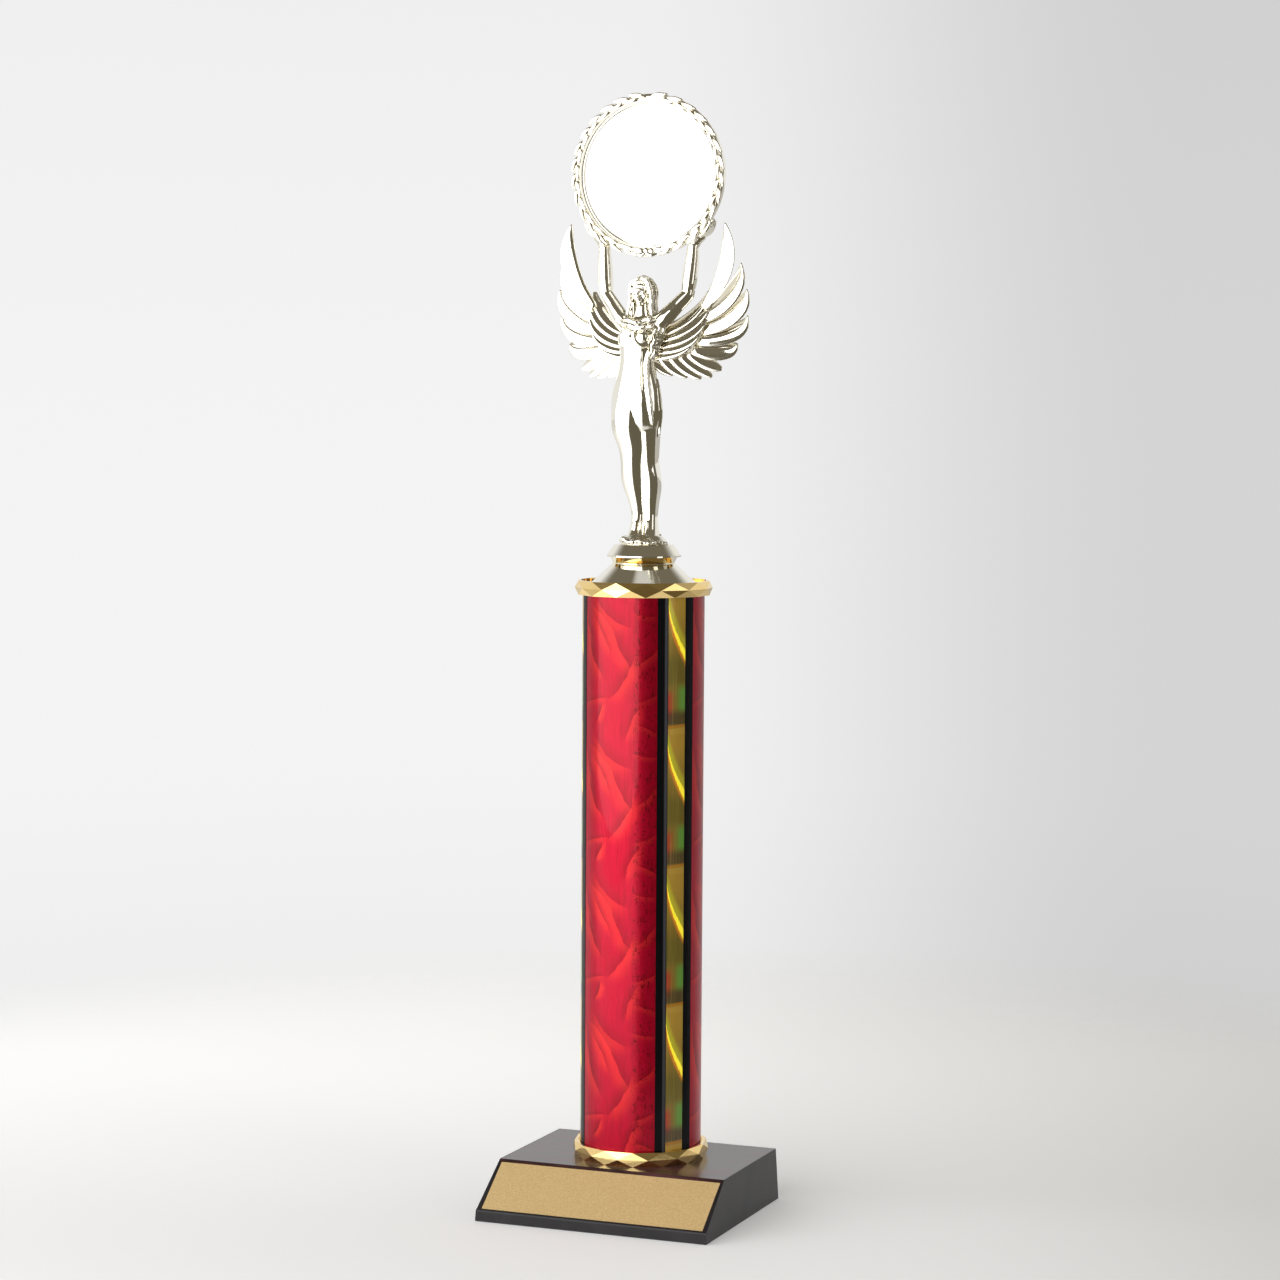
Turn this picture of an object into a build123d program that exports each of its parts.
"""Column trophy: a weighted base, a film-wrapped column between two faceted collars, and a
winged figure that holds a round insert, all clamped together by one threaded tie rod.

Millimetres. +Z is up, the origin is at the middle of the base on the surface that the trophy
stands on, and the name plate and the figure face -Y. Every piece is drawn about the column's axis,
and finish() moves it back to where the column stands on the base.
"""

from build123d import *
from math import cos, radians, sin, sqrt
import os

# ---------------------------------------------------------------- driving dimensions

# Base
BASE_WIDTH = 88.9  # along X at the foot
BASE_DEPTH = 76.2  # along Y at the foot
BASE_HEIGHT = 18.9  # top of the woodgrain foil
BACK_MARGIN = 2.3  # lower collar to the base's back face at the foot
BASE_DRAFT = 2.6  # degrees, all four sides
BASE_WALL = 2.2
BASE_EDGE_RADIUS = 0.5
LIP_HEIGHT = 4.6  # top of the lip under the name plate
LIP_LEDGE = 1.2  # how far the lip stands in front of the sloped face
LIP_RADIUS = 1.0
SLOPE_MARGIN = 3.6  # lower collar to the top edge of the sloped face
FOOT_GAP = 0.2  # the pad stands this far below the shell
FOIL_THICKNESS = 0.25
FOIL_MARGIN = 0.3
FOIL_LAP = 1.3  # how far the foil folds down over the sloped face
PAD_THICKNESS = 1.2
PAD_INSET = 2.0
PAD_CORNER = 2.5
FILL_CLEARANCE = 0.2  # round the cast weight

# Name plate
PLATE_THICKNESS = 0.6
PLATE_CHEEK = 1.0  # width of the base's rim at each end of the plate
PLATE_SIDE_GAP = 0.15
PLATE_TAPE = 0.15
PLATE_SINK = 0.1  # plate face below the rim

# Tie rod and its nuts
ROD_RADIUS = 3.175
ROD_HOLE_CLEARANCE = 0.3
THREAD_CLEARANCE = 0.05
NUT_FLATS = 11.1
NUT_THICKNESS = 5.6
NUT_CHAMFER = 0.5
WASHER_RADIUS = 7.95
WASHER_THICKNESS = 1.6
ROD_STICKOUT = 2.0  # rod below the bottom nut
NUT_WELL_RADIUS = 11.0
NUT_WELL_WALL = 2.5
NUT_WELL_ROOF = 4.0  # base material between the washer and the collar
LOCK_WASHER_RADIUS = 6.3
LOCK_WASHER_THICKNESS = 0.8
LOCK_WASHER_TEETH = 12
LOCK_TOOTH_DEPTH = 0.9

# Column
COLUMN_RADIUS = 22.2  # over the film
COLUMN_LENGTH = 203.2
TUBE_WALL = 1.75
FILM_THICKNESS = 0.25
STRIPE_PROUD = 0.1  # black stripes stand above the film
PATTERN_REPEATS = 3
RED_ANGLE = 80.0
GOLD_ANGLE = 19.0
FIRST_RED_CENTRE = -95.0  # degrees from +X: as assembled, 5 degrees off the front

# Collars
COLLAR_HEIGHT = 5.2
COLLAR_WEB = 2.6
COLLAR_FACETS = 14
COLLAR_GAP = 0.4  # round the column
COLLAR_WALL = 1.6  # at the corners of the rim
COLLAR_RIDGE = 0.8  # ridge stands out from the rim
LOWER_FIRST_CORNER = -74.8  # degrees from +X
UPPER_FIRST_CORNER = -66.6

# Riser between the column and the figure
RISER_BASE_RADIUS = 19.0
RISER_TOP_RADIUS = 11.2
RISER_FOOT = 0.5
RISER_HEIGHT = 7.7
RISER_WALL = 1.4

# Figure's pedestal
PEDESTAL_NECK = 2.2
PEDESTAL_NECK_FLARE = 1.0
PEDESTAL_RIM_RADIUS = 13.5
PEDESTAL_RIM_HEIGHT = 0.5
PEDESTAL_BEVEL_HEIGHT = 3.9
PEDESTAL_TOP_RADIUS = 10.7
MOUND_RADIUS = 8.6
MOUND_TOP_RADIUS = 5.6
MOUND_HEIGHT = 3.4
ROD_POCKET_SPARE = 0.9  # blind hole beyond the rod's end
ROD_TOP_STICKOUT = 0.5

# Figure. Heights are above the pedestal's top face.
HIP_HEIGHT = 50.0
SHOULDER_HEIGHT = 78.5
HEAD_HEIGHT = 91.6  # centre of the head
HEAD_SIZE = (4.9, 5.2, 6.2)  # half sizes over the hair, X, Y and Z
ARM_RADIUS = 2.4
WRIST_RADIUS = 1.9
ELBOW = (15.2, 1.5, 91.4)  # at the figure's left
SHOULDER = (7.4, -1.6, 80.0)
# (height, across, forward, half width, half depth)
BODY_STATIONS = (
    (1.0, 0.0, -0.6, 5.2, 5.6),
    (6.0, 0.0, 0.2, 5.1, 4.4),
    (11.0, 0.0, 0.2, 5.0, 3.6),
    (17.0, -0.1, -0.4, 6.2, 4.4),
    (22.5, -0.4, -1.2, 7.4, 5.0),
    (29.0, -0.5, -2.4, 7.3, 5.2),
    (36.0, -0.8, -3.6, 8.0, 5.9),
    (43.0, -1.1, -4.7, 9.2, 6.8),
    (HIP_HEIGHT, -1.2, -5.0, 9.6, 7.2),
    (57.5, -1.1, -5.1, 8.6, 6.2),
    (65.0, -1.0, -5.4, 6.4, 4.9),
    (72.5, -0.8, -5.0, 7.2, 5.9),
    (SHOULDER_HEIGHT, -0.3, -2.8, 8.0, 4.6),
)

# Insert and its wreath
INSERT_RADIUS = 25.4
INSERT_THICKNESS = 1.0
INSERT_GAP = 0.7
INSERT_TAPE_RADIUS = 22.0
INSERT_TAPE_THICKNESS = 0.5
WREATH_WIDTH = 3.1
WREATH_DEPTH = 5.0
WREATH_WEB = 1.2
WREATH_EDGE = 1.0
WREATH_SETBACK = 3.4  # behind the column's axis
WREATH_CLEAR = 104.2  # pedestal top to the wreath's lowest point
GRIP_ANGLE = 43.0  # hands, from the wreath's lowest point

# Wings. (across, height above the pedestal's top)
WING_THICKNESS = 1.8
WING_SETBACK = 4.0
WING_LAYER = 0.25  # each feather lies this far behind the one before
WING_ROOT = (9.5, 70.0)
WING_ROOT_REACH = 9.0  # how far a feather starts from the root, along its own line
PRIMARY_TIPS = ((29.7, 115.2), (34.6, 102.4), (36.4, 92.2), (36.3, 82.6), (32.4, 72.2))
PRIMARY_BULGES = (5.2, 4.6, 3.6, 2.4, 1.0)
PRIMARY_WIDTH = 9.0
LOWER_TIPS = ((26.4, 65.4), (21.8, 61.8), (17.0, 60.3), (11.8, 60.9))
LOWER_WIDTH = 6.2
COVERT_TIPS = ((21.9, 91.2), (22.6, 84.6), (21.6, 78.0), (19.0, 72.4))
COVERT_BULGE = 1.6
COVERT_WIDTH = 7.6

# ---------------------------------------------------------------- derived places

nut_corner_radius = NUT_FLATS / 2 / cos(radians(30))
rod_hole_radius = ROD_RADIUS + ROD_HOLE_CLEARANCE
thread_radius = ROD_RADIUS + THREAD_CLEARANCE

well_roof_z = BASE_HEIGHT - NUT_WELL_ROOF
washer_z = well_roof_z - WASHER_THICKNESS
bottom_nut_z = washer_z - NUT_THICKNESS
rod_bottom_z = bottom_nut_z - ROD_STICKOUT

lower_collar_z = BASE_HEIGHT + COLLAR_HEIGHT / 2
column_z = lower_collar_z + COLLAR_WEB / 2
column_top_z = column_z + COLUMN_LENGTH
upper_collar_z = column_top_z + COLLAR_WEB / 2
riser_z = upper_collar_z + COLLAR_WEB / 2
riser_top_z = riser_z + RISER_HEIGHT

rim_z = riser_top_z + PEDESTAL_NECK
bevel_z = rim_z + PEDESTAL_RIM_HEIGHT
pedestal_top_z = bevel_z + PEDESTAL_BEVEL_HEIGHT
captive_nut_z = riser_top_z + LOCK_WASHER_THICKNESS
rod_top_z = captive_nut_z + NUT_THICKNESS + ROD_TOP_STICKOUT

collar_bore_radius = COLUMN_RADIUS + STRIPE_PROUD + COLLAR_GAP
collar_rim_radius = collar_bore_radius + COLLAR_WALL
collar_ridge_radius = collar_rim_radius + COLLAR_RIDGE
tube_radius = COLUMN_RADIUS - FILM_THICKNESS

# The column's axis to the base's front, back and middle.
base_back = collar_ridge_radius + BACK_MARGIN
base_front = BASE_DEPTH - base_back
column_setback = BASE_DEPTH / 2 - base_back

black_angle = (360 / PATTERN_REPEATS - RED_ANGLE - GOLD_ANGLE) / 2

wreath_bore_radius = INSERT_RADIUS + INSERT_GAP
wreath_radius = wreath_bore_radius + WREATH_WIDTH
wreath_centre_z = pedestal_top_z + WREATH_CLEAR + wreath_radius
wreath_front_y = WREATH_SETBACK - WREATH_DEPTH / 2
wreath_back_y = WREATH_SETBACK + WREATH_DEPTH / 2

# The sloped face runs down from its top edge to the back of the lip's ledge.
slope_top = Vector(0, -collar_ridge_radius - SLOPE_MARGIN, BASE_HEIGHT)
slope_foot = Vector(0, -base_front + LIP_LEDGE, LIP_HEIGHT)
slope_down = (slope_foot - slope_top).normalized()
slope_out = Vector(0, slope_down.Z, -slope_down.Y)
slope_length = (slope_foot - slope_top).length


def above_pedestal(height):
    """Height of a point on the figure, from the surface that the trophy stands on."""
    return pedestal_top_z + height


def finish(part, name):
    """Moves a finished piece to where the column stands on the base, labels it and writes it."""
    placed = Pos(0, column_setback, 0) * part
    placed.label = name
    export_step(placed, f"parts/{name}.step")
    print(f"{name:20s} {len(placed.solids())} solid(s)  {placed.volume:10.1f} mm3")


os.makedirs("parts", exist_ok=True)

# ---------------------------------------------------------------- base


def box_outline(low, high):
    """Corners of an upright rectangle, from its low corner to its high one."""
    return (low[0], low[1]), (high[0], low[1]), (high[0], high[1]), (low[0], high[1])


def base_form(inset):
    """The base's outer form, or the same form without its lip drawn in by inset on every side."""
    low = (-base_front + inset, FOOT_GAP + inset)
    high = (base_back - inset, BASE_HEIGHT - inset)
    drawn_in = slope_out * inset
    slope_start = slope_top - slope_down * BASE_HEIGHT - drawn_in
    slope_stop = slope_foot + slope_down * BASE_HEIGHT - drawn_in
    with BuildPart() as form:
        with BuildSketch(Plane.YZ):
            with BuildLine():
                Polyline(*box_outline(low, high), close=True)
            make_face()
            with BuildLine():
                Polyline(
                    (slope_start.Y, slope_start.Z),
                    (slope_stop.Y, slope_stop.Z),
                    (base_back, slope_stop.Z),
                    (base_back, slope_start.Z),
                    close=True,
                )
            make_face(mode=Mode.INTERSECT)
            if not inset:
                with BuildLine():
                    Polyline(*box_outline(low, (0, LIP_HEIGHT)), close=True)
                make_face()
        extrude(amount=BASE_WIDTH / 2, both=True)
        with BuildSketch(Plane.XY.offset(FOOT_GAP)):
            with Locations((0, -column_setback)):
                Rectangle(BASE_WIDTH - 2 * inset, BASE_DEPTH - 2 * inset)
        extrude(amount=BASE_HEIGHT, taper=BASE_DRAFT, mode=Mode.INTERSECT)
    return form.part


def slope_slab(start, stop, width, low, high):
    """A slab on the sloped face, from start to stop down the slope and from low to high above it."""
    middle = slope_top + slope_down * ((start + stop) / 2)
    with BuildPart() as slab:
        with BuildSketch(Plane(origin=middle + slope_out * low, x_dir=(1, 0, 0), z_dir=slope_out)):
            Rectangle(width, stop - start)
        extrude(amount=high - low)
    return slab.part


def pad_outline(clearance):
    """The pad's rounded rectangle, made larger by clearance."""
    with BuildSketch() as outline:
        with Locations((0, -column_setback)):
            RectangleRounded(
                BASE_WIDTH - 2 * PAD_INSET + 2 * clearance,
                BASE_DEPTH - 2 * PAD_INSET + 2 * clearance,
                PAD_CORNER,
            )
    return outline.sketch


top_half_width = BASE_WIDTH / 2 - (BASE_HEIGHT - FOOT_GAP) * sin(radians(BASE_DRAFT))
top_back = base_back - (BASE_HEIGHT - FOOT_GAP) * sin(radians(BASE_DRAFT))
plate_width = 2 * (top_half_width - PLATE_CHEEK - PLATE_SIDE_GAP)
recess_depth = PLATE_SINK + PLATE_THICKNESS + PLATE_TAPE

with BuildPart() as woodgrain_foil:
    fold = slope_top + slope_down * FOIL_LAP
    fold_in = fold - slope_out * FOIL_THICKNESS
    corner_shift = FOIL_THICKNESS * (1 - slope_out.Z) / slope_out.Y
    with BuildSketch(Plane.YZ):
        with BuildLine():
            Polyline(
                (top_back - FOIL_MARGIN, BASE_HEIGHT),
                (slope_top.Y, slope_top.Z),
                (fold.Y, fold.Z),
                (fold_in.Y, fold_in.Z),
                (slope_top.Y - corner_shift, BASE_HEIGHT - FOIL_THICKNESS),
                (top_back - FOIL_MARGIN, BASE_HEIGHT - FOIL_THICKNESS),
                close=True,
            )
        make_face()
    extrude(amount=top_half_width - FOIL_MARGIN, both=True)
    with BuildSketch(Plane.XY.offset(BASE_HEIGHT)):
        Circle(rod_hole_radius)
    extrude(amount=-NUT_WELL_ROOF, mode=Mode.SUBTRACT)

outer_form = base_form(0)
inner_form = base_form(BASE_WALL)
fill_form = base_form(BASE_WALL + FILL_CLEARANCE)
plate_recess = slope_slab(
    FOIL_LAP, slope_length, plate_width + 2 * PLATE_SIDE_GAP, -recess_depth, COLLAR_HEIGHT
)
pad_seat = pad_outline(FILL_CLEARANCE)

with BuildPart() as base_shell:
    add(outer_form)
    lip_edges = base_shell.edges().filter_by(Axis.X).filter_by_position(Axis.Z, LIP_HEIGHT, LIP_HEIGHT)
    fillet(lip_edges.sort_by(Axis.Y)[0], LIP_RADIUS)
    upright = base_shell.edges().filter_by(lambda e: abs(e.tangent_at(0.5).Z) > 0.9)
    fillet(upright.group_by(Axis.Y)[-1], BASE_EDGE_RADIUS)
    add(inner_form, mode=Mode.SUBTRACT)
    with BuildSketch(Plane.XY.offset(FOOT_GAP)):
        Circle(NUT_WELL_RADIUS + NUT_WELL_WALL)
    extrude(amount=well_roof_z - FOOT_GAP + BASE_WALL)
    with BuildSketch(Plane.XY):
        Circle(NUT_WELL_RADIUS)
    extrude(amount=well_roof_z, mode=Mode.SUBTRACT)
    with BuildSketch(Plane.XY):
        Circle(rod_hole_radius)
    extrude(amount=BASE_HEIGHT, mode=Mode.SUBTRACT)
    with BuildSketch(Plane.XY):
        add(pad_seat)
    extrude(amount=PAD_THICKNESS, mode=Mode.SUBTRACT)
    add(plate_recess, mode=Mode.SUBTRACT)
    add(woodgrain_foil.part, mode=Mode.SUBTRACT)

with BuildPart() as base_weight:
    add(fill_form)
    with BuildSketch(Plane.XY):
        Circle(NUT_WELL_RADIUS + NUT_WELL_WALL + FILL_CLEARANCE)
    extrude(amount=BASE_HEIGHT, mode=Mode.SUBTRACT)
    split(bisect_by=Plane.XY.offset(PAD_THICKNESS), keep=Keep.TOP)

with BuildPart() as base_pad:
    with BuildSketch(Plane.XY):
        add(pad_outline(0))
        Circle(NUT_WELL_RADIUS, mode=Mode.SUBTRACT)
    extrude(amount=PAD_THICKNESS)

with BuildPart() as plate_tape:
    add(
        slope_slab(
            FOIL_LAP + 1.0,
            slope_length - 1.0,
            plate_width - 2.0,
            -recess_depth,
            -recess_depth + PLATE_TAPE,
        )
    )

with BuildPart() as name_plate:
    add(
        slope_slab(
            FOIL_LAP + PLATE_SIDE_GAP,
            slope_length - PLATE_SIDE_GAP,
            plate_width,
            -PLATE_SINK - PLATE_THICKNESS,
            -PLATE_SINK,
        )
    )

# ---------------------------------------------------------------- tie rod, nuts and washers

with BuildPart() as tie_rod:
    with BuildSketch(Plane.XY.offset(rod_bottom_z)):
        Circle(ROD_RADIUS)
    extrude(amount=rod_top_z - rod_bottom_z)
    chamfer(tie_rod.edges().filter_by(GeomType.CIRCLE), ROD_RADIUS / 6)


def hex_nut(z):
    """A hexagon nut standing on height z, its thread shown as a plain bore."""
    with BuildPart() as nut:
        with BuildSketch(Plane.XY.offset(z)):
            RegularPolygon(nut_corner_radius, 6)
        extrude(amount=NUT_THICKNESS)
        with BuildSketch(Plane.XZ):
            with BuildLine():
                Polyline(
                    (0, z),
                    (nut_corner_radius - NUT_CHAMFER, z),
                    (nut_corner_radius, z + NUT_CHAMFER / 2),
                    (nut_corner_radius, z + NUT_THICKNESS - NUT_CHAMFER / 2),
                    (nut_corner_radius - NUT_CHAMFER, z + NUT_THICKNESS),
                    (0, z + NUT_THICKNESS),
                    close=True,
                )
            make_face()
        revolve(axis=Axis.Z, mode=Mode.INTERSECT)
        with BuildSketch(Plane.XY.offset(z)):
            Circle(thread_radius)
        extrude(amount=NUT_THICKNESS, mode=Mode.SUBTRACT)
    return nut.part


with BuildPart() as bottom_washer:
    with BuildSketch(Plane.XY.offset(washer_z)):
        Circle(WASHER_RADIUS)
        Circle(rod_hole_radius, mode=Mode.SUBTRACT)
    extrude(amount=WASHER_THICKNESS)

with BuildPart() as figure_lock_washer:
    with BuildSketch(Plane.XY.offset(riser_top_z)):
        Circle(LOCK_WASHER_RADIUS)
        Circle(rod_hole_radius, mode=Mode.SUBTRACT)
        with PolarLocations(LOCK_WASHER_RADIUS, LOCK_WASHER_TEETH):
            RegularPolygon(LOCK_TOOTH_DEPTH, 3, mode=Mode.SUBTRACT)
    extrude(amount=LOCK_WASHER_THICKNESS)

bottom_nut = hex_nut(bottom_nut_z)
captive_nut = hex_nut(captive_nut_z)

# ---------------------------------------------------------------- collars and column


def faceted_drum(z, first_corner):
    """A drum with three rings of corners, the middle ring turned half a facet, joined by flat triangles."""
    step = 360 / COLLAR_FACETS

    def corner(index, radius, height, turn):
        angle = radians(first_corner + step * (index + turn))
        return Vector(radius * cos(angle), radius * sin(angle), z + height)

    def ring(radius, height, turn):
        return [corner(index, radius, height, turn) for index in range(COLLAR_FACETS)]

    bottom = ring(collar_rim_radius, -COLLAR_HEIGHT / 2, 0)
    ridge = ring(collar_ridge_radius, 0, 0.5)
    top = ring(collar_rim_radius, COLLAR_HEIGHT / 2, 0)
    faces = [Face(Wire.make_polygon(bottom)), Face(Wire.make_polygon(top))]
    for index in range(COLLAR_FACETS):
        after = (index + 1) % COLLAR_FACETS
        for rim in (bottom, top):
            faces.append(Face(Wire.make_polygon([rim[index], rim[after], ridge[index]])))
            faces.append(Face(Wire.make_polygon([ridge[index], ridge[after], rim[after]])))
    return Solid(Shell(faces))


def collar(z, first_corner):
    """A collar centred on height z: a faceted rim round a web, open above and below it."""
    drum = faceted_drum(z, first_corner)
    with BuildPart() as ring:
        add(drum)
        with BuildSketch(Plane.XY.offset(z + COLLAR_WEB / 2)):
            Circle(collar_bore_radius)
        extrude(amount=COLLAR_HEIGHT, mode=Mode.SUBTRACT)
        with BuildSketch(Plane.XY.offset(z - COLLAR_WEB / 2)):
            Circle(collar_bore_radius)
        extrude(amount=-COLLAR_HEIGHT, mode=Mode.SUBTRACT)
        with BuildSketch(Plane.XY.offset(z - COLLAR_WEB)):
            Circle(rod_hole_radius)
        extrude(amount=2 * COLLAR_WEB, mode=Mode.SUBTRACT)
    return ring.part


def column_skin(first_angles, sweep_angle, thickness):
    """Strips of film on the tube, each from its first angle round by sweep_angle."""
    outer = tube_radius + thickness
    with BuildPart() as skin:
        with BuildSketch(Plane.XY.offset(column_z)):
            for first in first_angles:
                last = first + sweep_angle
                with BuildLine():
                    inner_arc = CenterArc((0, 0), tube_radius, first, sweep_angle)
                    outer_arc = CenterArc((0, 0), outer, first, sweep_angle)
                    Line(inner_arc @ 0, outer_arc @ 0)
                    Line(inner_arc @ 1, outer_arc @ 1)
                make_face()
        extrude(amount=COLUMN_LENGTH)
    return skin.part


lower_collar = collar(lower_collar_z, LOWER_FIRST_CORNER)
upper_collar = collar(upper_collar_z, UPPER_FIRST_CORNER)

with BuildPart() as column_tube:
    with BuildSketch(Plane.XY.offset(column_z)):
        Circle(tube_radius)
        Circle(tube_radius - TUBE_WALL, mode=Mode.SUBTRACT)
    extrude(amount=COLUMN_LENGTH)

repeat_angle = 360 / PATTERN_REPEATS
red_starts = [
    FIRST_RED_CENTRE - RED_ANGLE / 2 + index * repeat_angle for index in range(PATTERN_REPEATS)
]
gold_starts = [start + RED_ANGLE + black_angle for start in red_starts]
black_starts = [start + RED_ANGLE for start in red_starts]
black_starts += [start + GOLD_ANGLE for start in gold_starts]
red_film = column_skin(red_starts, RED_ANGLE, FILM_THICKNESS)
gold_stripes = column_skin(gold_starts, GOLD_ANGLE, FILM_THICKNESS)
black_stripes = column_skin(black_starts, black_angle, FILM_THICKNESS + STRIPE_PROUD)

# ---------------------------------------------------------------- riser and pedestal

with BuildPart() as riser_cone:
    with BuildSketch(Plane.XZ):
        with BuildLine():
            Polyline(
                (rod_hole_radius, riser_top_z),
                (RISER_TOP_RADIUS, riser_top_z),
                (RISER_BASE_RADIUS, riser_z + RISER_FOOT),
                (RISER_BASE_RADIUS, riser_z),
                (RISER_BASE_RADIUS - RISER_WALL, riser_z),
                (RISER_TOP_RADIUS - RISER_WALL, riser_top_z - RISER_WALL),
                (rod_hole_radius, riser_top_z - RISER_WALL),
                close=True,
            )
        make_face()
    revolve(axis=Axis.Z)

with BuildPart() as figure_pedestal:
    with BuildSketch(Plane.XZ):
        with BuildLine():
            Polyline(
                (0, riser_top_z),
                (RISER_TOP_RADIUS, riser_top_z),
                (RISER_TOP_RADIUS + PEDESTAL_NECK_FLARE, rim_z),
                (PEDESTAL_RIM_RADIUS, rim_z),
                (PEDESTAL_RIM_RADIUS, bevel_z),
                (PEDESTAL_TOP_RADIUS, pedestal_top_z),
                (MOUND_RADIUS, pedestal_top_z),
                (MOUND_TOP_RADIUS, above_pedestal(MOUND_HEIGHT)),
                (0, above_pedestal(MOUND_HEIGHT)),
                close=True,
            )
        make_face()
    revolve(axis=Axis.Z)
    with BuildSketch(Plane.XY.offset(riser_top_z)):
        Circle(LOCK_WASHER_RADIUS + THREAD_CLEARANCE)
    extrude(amount=LOCK_WASHER_THICKNESS, mode=Mode.SUBTRACT)
    with BuildSketch(Plane.XY.offset(captive_nut_z)):
        RegularPolygon(nut_corner_radius + THREAD_CLEARANCE, 6)
    extrude(amount=NUT_THICKNESS, mode=Mode.SUBTRACT)
    with BuildSketch(Plane.XY.offset(captive_nut_z)):
        Circle(rod_hole_radius)
    extrude(amount=rod_top_z - captive_nut_z + ROD_POCKET_SPARE, mode=Mode.SUBTRACT)

# ---------------------------------------------------------------- figure


def grip(side):
    """Where a hand holds the wreath: side is 1 for the figure's left, -1 for the right."""
    reach = wreath_radius - WREATH_WIDTH / 2
    across = side * reach * sin(radians(GRIP_ANGLE))
    return Vector(across, WREATH_SETBACK, wreath_centre_z - reach * cos(radians(GRIP_ANGLE)))


def limb(start, stop, start_radius, stop_radius):
    """A round limb that tapers from start to stop."""
    along = stop - start
    with BuildPart() as piece:
        with BuildSketch(Plane(origin=start, z_dir=along)):
            Circle(start_radius)
        with BuildSketch(Plane(origin=stop, z_dir=along)):
            Circle(stop_radius)
        loft()
        with Locations(start):
            Sphere(start_radius)
        with Locations(stop):
            Sphere(stop_radius)
    return piece.part


def arm(side):
    """Upper arm, forearm and fist of one arm, ending just under the wreath."""
    shoulder = Vector(side * SHOULDER[0], SHOULDER[1], above_pedestal(SHOULDER[2]))
    elbow = Vector(side * ELBOW[0], ELBOW[1], above_pedestal(ELBOW[2]))
    hold = grip(side)
    outward = (hold - Vector(0, WREATH_SETBACK, wreath_centre_z)).normalized()
    fist = hold + outward * (WREATH_WIDTH / 2 + WRIST_RADIUS)
    return [
        limb(shoulder, elbow, ARM_RADIUS + 0.2, ARM_RADIUS),
        limb(elbow, fist, ARM_RADIUS, WRIST_RADIUS),
    ]


arms = arm(-1) + arm(1)
wreath_space = Plane.XZ.offset(-wreath_back_y)
head_centre = Vector(0, -1.0, above_pedestal(HEAD_HEIGHT))
neck_foot = Vector(-0.2, -2.0, above_pedestal(SHOULDER_HEIGHT))

with BuildPart() as head:
    Sphere(1.0)
    scale(by=HEAD_SIZE)

with BuildPart() as mound_bite:
    add(figure_pedestal.part)
    with BuildSketch(Plane.XY.offset(riser_top_z)):
        Circle(MOUND_TOP_RADIUS)
    extrude(amount=above_pedestal(MOUND_HEIGHT) - riser_top_z)

with BuildPart() as figure_body:
    for height, across, forward, half_width, half_depth in BODY_STATIONS:
        with BuildSketch(Plane((across, forward, above_pedestal(height)))):
            Ellipse(half_width, half_depth)
    loft()
    add(limb(neck_foot, head_centre, ARM_RADIUS + 0.3, ARM_RADIUS))
    with Locations(head_centre):
        add(head.part)
    for piece in arms:
        add(piece)
    with BuildSketch(wreath_space):
        with Locations((0, wreath_centre_z)):
            Circle(wreath_radius)
    extrude(amount=WREATH_DEPTH, mode=Mode.SUBTRACT)
    add(mound_bite.part, mode=Mode.SUBTRACT)


def feather(root, tip, bulge, width):
    """The outline of one feather: a rounded root, a belly that bulges outwards and a pointed tip."""
    along = (tip - root).normalized()
    across = Vector(-along.Y, along.X)
    middle = (root + tip) / 2
    with BuildSketch() as outline:
        with BuildLine():
            low = root - across * (width / 2)
            high = root + across * (width / 2)
            ThreePointArc(low, middle - across * (bulge + width / 2), tip)
            ThreePointArc(tip, middle - across * (bulge - width / 2), high)
            Line(high, low)
        make_face()
    return outline.sketch


def wing_feathers(tips, bulges, width, reach):
    """Feathers that fan out from the wing's root to each tip."""
    root = Vector(*WING_ROOT)
    fan = []
    for tip, bulge in zip(tips, bulges):
        tip = Vector(*tip)
        start = root + (tip - root).normalized() * reach
        fan.append(feather(start, tip, bulge, width))
    return fan


primaries = wing_feathers(PRIMARY_TIPS, PRIMARY_BULGES, PRIMARY_WIDTH, WING_ROOT_REACH)
lowers = wing_feathers(LOWER_TIPS, (0.4,) * len(LOWER_TIPS), LOWER_WIDTH, 0)
coverts = wing_feathers(COVERT_TIPS, (COVERT_BULGE,) * len(COVERT_TIPS), COVERT_WIDTH, 0)

with BuildPart() as left_wing:
    for row_index, row in enumerate((coverts, primaries + lowers)):
        for index, outline in enumerate(row):
            setback = WING_SETBACK + WING_THICKNESS / 2 * row_index + WING_LAYER * (index % 2)
            with BuildSketch(Plane.XZ.offset(-setback)):
                with Locations((0, pedestal_top_z)):
                    add(outline)
            extrude(amount=-WING_THICKNESS)
    add(figure_body.part, mode=Mode.SUBTRACT)

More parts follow.
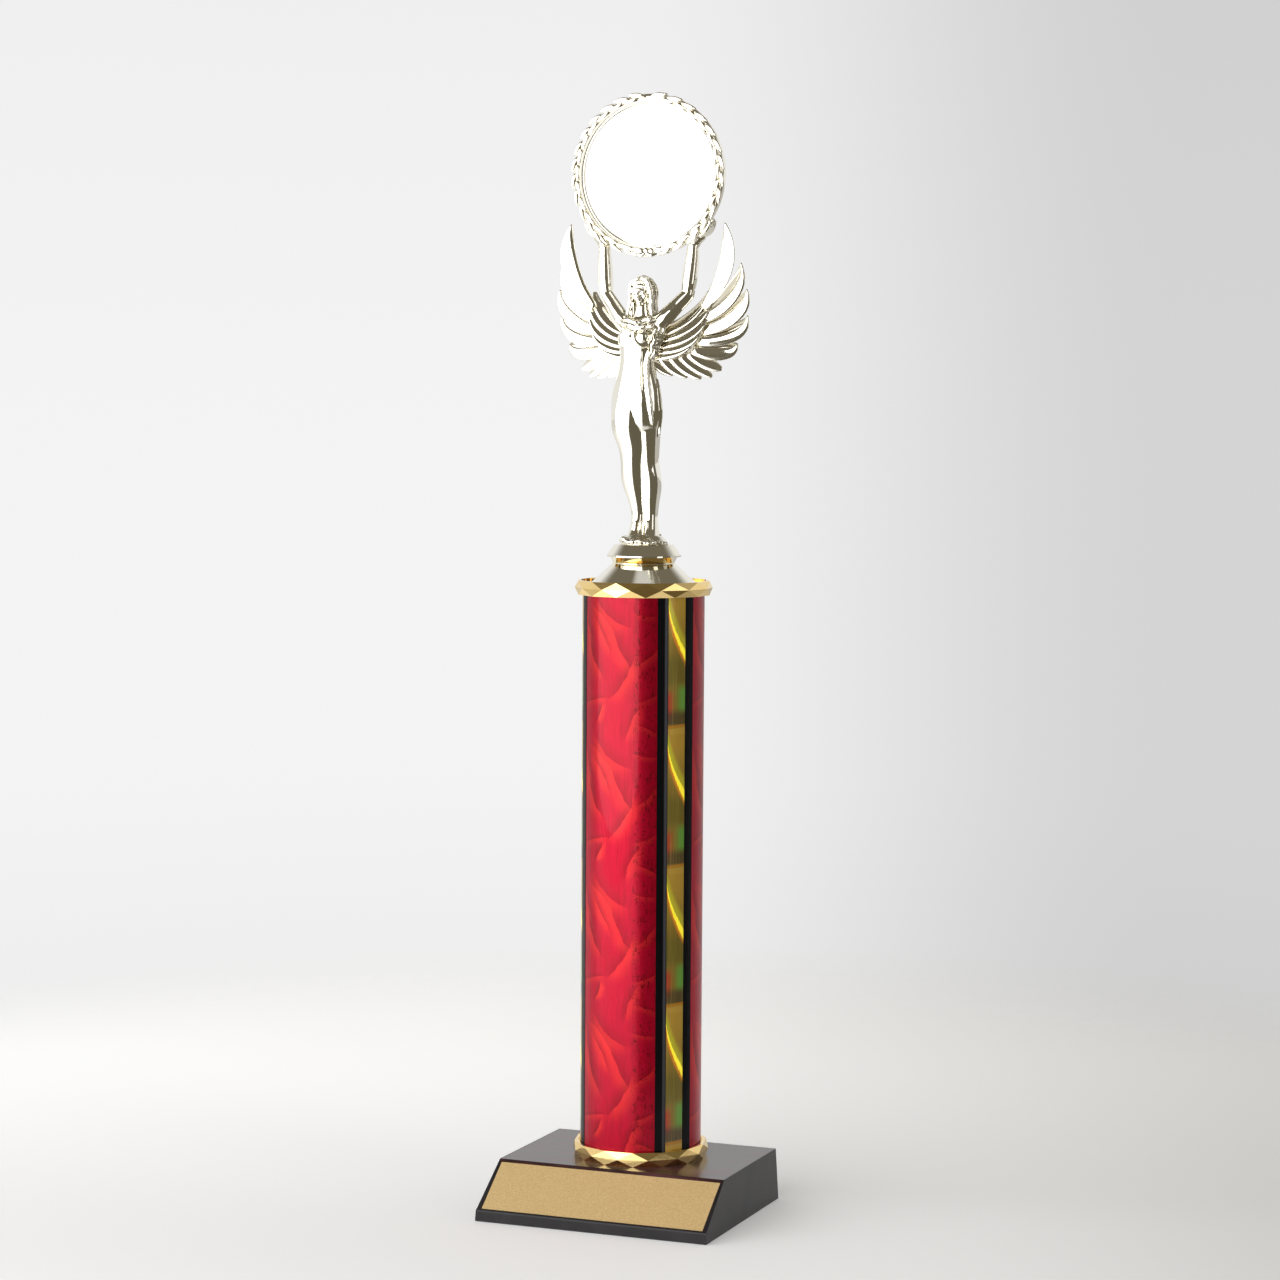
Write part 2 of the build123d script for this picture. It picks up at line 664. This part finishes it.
with BuildPart() as right_wing:
    mirror(left_wing.part, about=Plane.YZ)
    add(figure_body.part, mode=Mode.SUBTRACT)

# ---------------------------------------------------------------- wreath and insert

with BuildPart() as wreath_ring:
    with BuildSketch(wreath_space):
        with Locations((0, wreath_centre_z)):
            Circle(wreath_radius)
    extrude(amount=WREATH_DEPTH)
    fillet(wreath_ring.edges().filter_by(GeomType.CIRCLE), WREATH_EDGE)
    with BuildSketch(Plane.XZ.offset(-wreath_back_y + WREATH_WEB)):
        with Locations((0, wreath_centre_z)):
            Circle(wreath_bore_radius)
    extrude(amount=WREATH_DEPTH, mode=Mode.SUBTRACT)


def insert_layer(radius, start, thickness):
    """A disc that lies in the wreath, from start in front of its web."""
    with BuildPart() as layer:
        with BuildSketch(Plane.XZ.offset(-wreath_back_y + WREATH_WEB + start)):
            with Locations((0, wreath_centre_z)):
                Circle(radius)
        extrude(amount=thickness)
    return layer.part


insert_tape = insert_layer(INSERT_TAPE_RADIUS, 0, INSERT_TAPE_THICKNESS)
insert_disc = insert_layer(INSERT_RADIUS, INSERT_TAPE_THICKNESS, INSERT_THICKNESS)

# ---------------------------------------------------------------- write every piece

pieces = {
    "base_shell": base_shell.part,
    "woodgrain_foil": woodgrain_foil.part,
    "base_weight": base_weight.part,
    "base_pad": base_pad.part,
    "plate_tape": plate_tape.part,
    "name_plate": name_plate.part,
    "tie_rod": tie_rod.part,
    "bottom_washer": bottom_washer.part,
    "bottom_nut": bottom_nut,
    "lower_collar": lower_collar,
    "column_tube": column_tube.part,
    "red_film": red_film,
    "gold_stripes": gold_stripes,
    "black_stripes": black_stripes,
    "upper_collar": upper_collar,
    "riser_cone": riser_cone.part,
    "figure_lock_washer": figure_lock_washer.part,
    "figure_pedestal": figure_pedestal.part,
    "captive_nut": captive_nut,
    "figure_body": figure_body.part,
    "left_wing": left_wing.part,
    "right_wing": right_wing.part,
    "wreath_ring": wreath_ring.part,
    "insert_tape": insert_tape,
    "insert_disc": insert_disc,
}
for piece_name, piece_part in pieces.items():
    finish(piece_part, piece_name)
